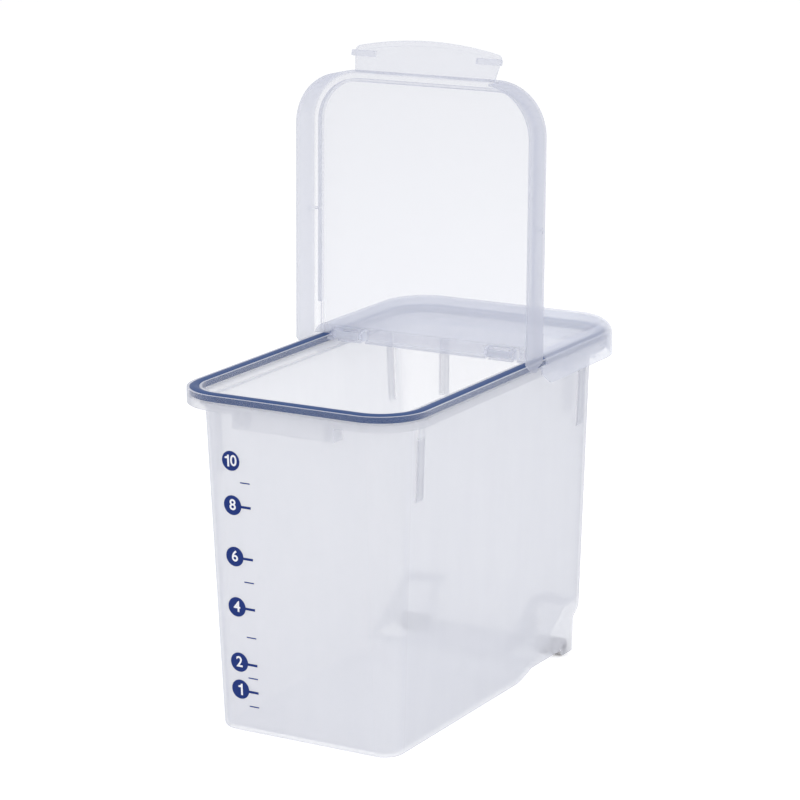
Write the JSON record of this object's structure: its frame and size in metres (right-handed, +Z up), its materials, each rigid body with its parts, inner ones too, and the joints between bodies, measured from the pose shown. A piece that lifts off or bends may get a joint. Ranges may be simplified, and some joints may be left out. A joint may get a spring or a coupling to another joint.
{
  "type": "rice storage bin",
  "caption": "Tall translucent plastic tub with a gasketed rim, fixed rear cover, front lid hinged on the cover, front latch flap and rear floor rollers for storing rice.",
  "frame": {"origin": "on the floor, in the middle of the rim's width and depth, on the flat underside of the tub", "axes": "+Z up; -Y towards the front with the latch; +X to the right seen from the front"},
  "size_m": [0.2214, 0.3762, 0.5321],
  "materials": {
    "tub_polypropylene": "satin, natural translucent",
    "lid_polypropylene": "satin, natural translucent",
    "cover_polypropylene": "satin, natural translucent",
    "gasket_rubber": "smooth moulded elastomer",
    "roller_plastic": "moulded, slightly rough",
    "axle_steel": "drawn wire"
  },
  "bodies": {
    "bin": {"bin_body": "tub_polypropylene", "rim_gasket": "gasket_rubber", "rear_cover": "cover_polypropylene", "axle_left": "axle_steel", "axle_right": "axle_steel"},
    "lid": {"flip_lid": "lid_polypropylene"},
    "latch": {"latch_flap": "lid_polypropylene"},
    "left_roller": {"roller_left": "roller_plastic"},
    "right_roller": {"roller_right": "roller_plastic"}
  },
  "joints": [
    {"name": "lid_hinge", "type": "hinge", "parent": "bin", "child": "lid", "pos_m": [0, 0.033, 0.2845], "axis": [1, 0, 0], "range_deg": [0, 91.7]},
    {"name": "latch_hinge", "type": "hinge", "parent": "lid", "child": "latch", "pos_m": [0, 0.03575, 0.50532], "axis": [1, 0, 0], "range_deg": [0, 107]},
    {"name": "left_roller_spin", "type": "hinge", "parent": "bin", "child": "left_roller", "pos_m": [-0.06669, 0.1305, 0.0075], "axis": [1, 0, 0], "continuous": true},
    {"name": "right_roller_spin", "type": "hinge", "parent": "bin", "child": "right_roller", "pos_m": [0.06669, 0.1305, 0.0075], "axis": [1, 0, 0], "continuous": true}
  ]
}
